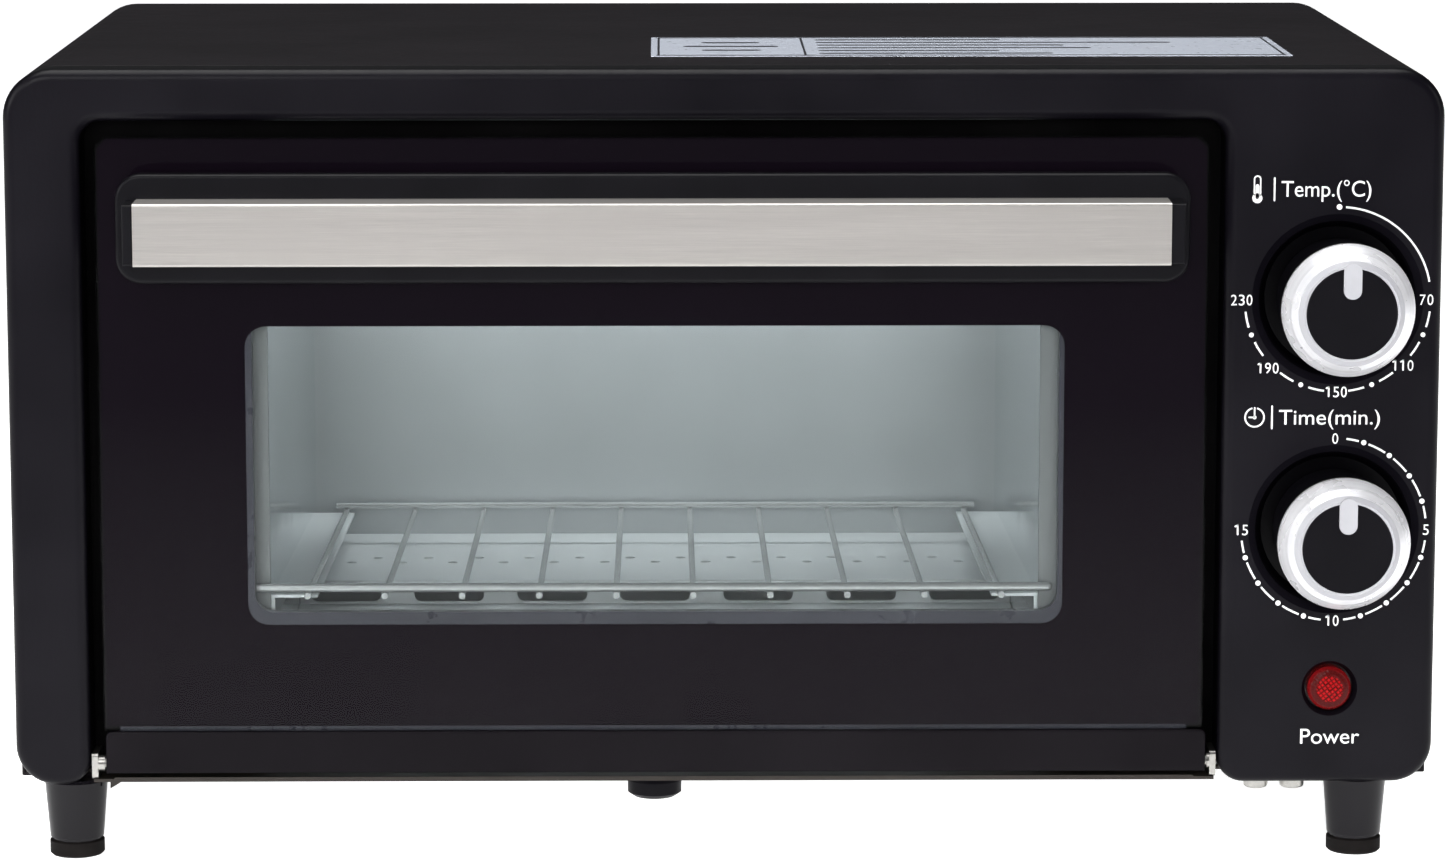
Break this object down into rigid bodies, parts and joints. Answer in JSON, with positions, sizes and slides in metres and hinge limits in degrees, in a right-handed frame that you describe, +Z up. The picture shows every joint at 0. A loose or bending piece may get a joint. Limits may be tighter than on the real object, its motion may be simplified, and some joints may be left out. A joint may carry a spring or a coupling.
{
  "type": "toaster oven",
  "caption": "Compact black toaster oven with a drop-down glass door, bar handle, sliding wire rack, two rotary dials, pilot lamp and hinged crumb tray.",
  "frame": {"origin": "on the table under the middle of the oven, halfway across its width and its depth over the dials and rear screws", "axes": "+X to the user's right, +Y to the back (the door faces -Y), +Z up"},
  "size_m": [0.37, 0.2564, 0.2081],
  "materials": {
    "frame_paint": "fine satin black powder coat",
    "casing_paint": "fine satin black powder coat",
    "rear_paint": "satin black paint",
    "zinc_sheet": "galvanised, faint spangle",
    "cavity_steel": "aluminised, soft sheen",
    "heater_steel": "heat-darkened sheath",
    "ceramic": "unglazed steatite",
    "rack_chrome": "bright nickel-chrome wire",
    "glass": "toughened, black border printed on the rear",
    "pan_steel": "dark grey enamel",
    "rail_paint": "gloss black",
    "handle_plastic": "fine-grained black",
    "brushed_strip": "long horizontal grain",
    "knob_plastic": "gloss black",
    "knob_metal": "satin silver, plated",
    "screw_steel": "zinc plated",
    "switch_plastic": "cream phenolic",
    "bell_steel": "bright plated",
    "lamp_black": "black nylon",
    "lamp_red": "clear red, faceted inside",
    "leg_plastic": "gloss black",
    "pad_rubber": "dull black-grey",
    "label_film": "pale grey-blue film"
  },
  "bodies": {
    "cabinet": {"front_frame": "frame_paint", "outer_casing": "casing_paint", "rear_panel": "rear_paint", "base_plate": "zinc_sheet", "cavity_liner": "cavity_steel", "cavity_back_wall": "cavity_steel", "cavity_front_plate": "rear_paint", "control_side_wall": "zinc_sheet", "control_bracket": "zinc_sheet", "upper_heater": "heater_steel", "lower_heater": "heater_steel", "heater_end_caps": "ceramic", "lower_heater_guard": "cavity_steel", "rack_rail_left": "cavity_steel", "rack_rail_right": "cavity_steel", "thermostat": "switch_plastic", "timer": "switch_plastic", "timer_bell": "bell_steel", "lamp_holder": "lamp_black", "lamp_lens": "lamp_red", "terminal_block": "switch_plastic", "hinge_bracket_left": "screw_steel", "hinge_bracket_right": "screw_steel", "leg_screws": "screw_steel", "rear_screws": "screw_steel", "panel_screws": "screw_steel", "top_label": "label_film", "leg_front_left": "leg_plastic", "foot_pad_front_left": "pad_rubber", "leg_front_right": "leg_plastic", "foot_pad_front_right": "pad_rubber", "leg_rear_left": "leg_plastic", "foot_pad_rear_left": "pad_rubber", "leg_rear_right": "leg_plastic", "foot_pad_rear_right": "pad_rubber"},
    "door": {"door_glass": "glass", "door_inner_frame": "pan_steel", "door_bottom_rail": "rail_paint", "door_hinge_pins": "screw_steel", "handle_moulding": "handle_plastic", "handle_strip": "brushed_strip", "handle_screws": "screw_steel"},
    "rack": {"wire_rack": "rack_chrome"},
    "crumb_tray": {"crumb_tray": "zinc_sheet", "crumb_tray_pin": "screw_steel", "crumb_tray_knob": "knob_plastic"},
    "temperature_dial": {"temperature_knob": "knob_plastic", "temperature_knob_ring": "knob_metal", "temperature_knob_shaft": "screw_steel"},
    "timer_dial": {"timer_knob": "knob_plastic", "timer_knob_ring": "knob_metal", "timer_knob_shaft": "screw_steel"}
  },
  "joints": [
    {"name": "door_hinge", "type": "hinge", "parent": "cabinet", "child": "door", "pos_m": [0, -0.0956, 0.0262], "axis": [1, 0, 0], "range_deg": [0, 83], "stiffness_Nm_per_rad": 0.06, "springref_deg": -74.48},
    {"name": "rack_slide", "type": "slide", "parent": "cabinet", "child": "rack", "axis": [0, -0.9991, 0.0422], "range_m": [0, 0.058]},
    {"name": "temperature_turn", "type": "hinge", "parent": "cabinet", "child": "temperature_dial", "pos_m": [0.158, -0.0992, 0.1484], "axis": [0, 1, 0], "range_deg": [0, 270]},
    {"name": "timer_turn", "type": "hinge", "parent": "cabinet", "child": "timer_dial", "pos_m": [0.158, -0.0992, 0.0882], "axis": [0, 1, 0], "range_deg": [0, 270]},
    {"name": "crumb_tray_drop", "type": "hinge", "parent": "cabinet", "child": "crumb_tray", "pos_m": [-0.018, 0.1054, 0.0194], "axis": [1, 0, 0], "range_deg": [0, 70]}
  ],
  "couplings": [
    {"joint": "rack_slide", "follows": "door_hinge", "m_per_rad": 0.04}
  ]
}
